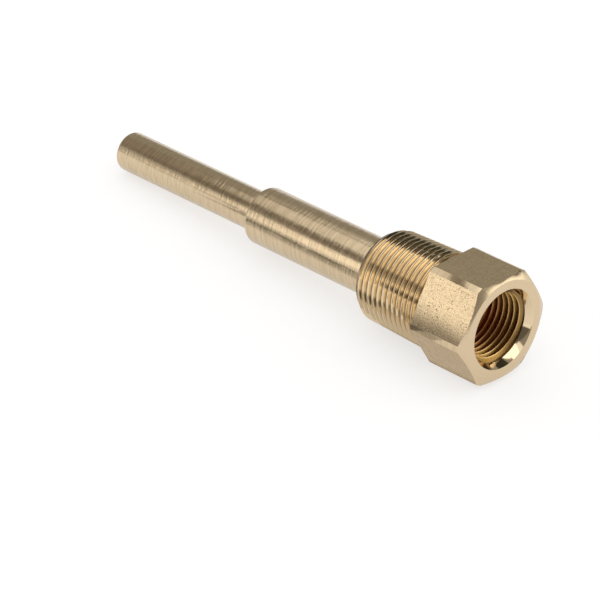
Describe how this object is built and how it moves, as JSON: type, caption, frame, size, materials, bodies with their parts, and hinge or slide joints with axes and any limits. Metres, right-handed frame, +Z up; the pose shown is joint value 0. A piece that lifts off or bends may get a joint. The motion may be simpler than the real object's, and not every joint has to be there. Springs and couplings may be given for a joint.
{
  "type": "thermowell",
  "caption": "Stepped-shank thermowell with hexagon head, tapered male pipe thread, tapered female instrument socket and a deep blind sensor bore to a closed tip.",
  "frame": {"origin": "centre of the bounding box's base, on the surface the well lies on", "axes": "+X from the closed tip towards the mouth of the instrument socket, level; +Z up. The well lies at rest on its tip and on the small end of its pipe thread, with one flat of the hexagon facing down just clear of the surface, so its own axis rises 4.04 degrees from +X towards +Z at the mouth."},
  "size_m": [0.145, 0.032, 0.0299],
  "materials": {
    "brass": "machined"
  },
  "bodies": {
    "root": {"thermowell": "brass"}
  },
  "joints": []
}
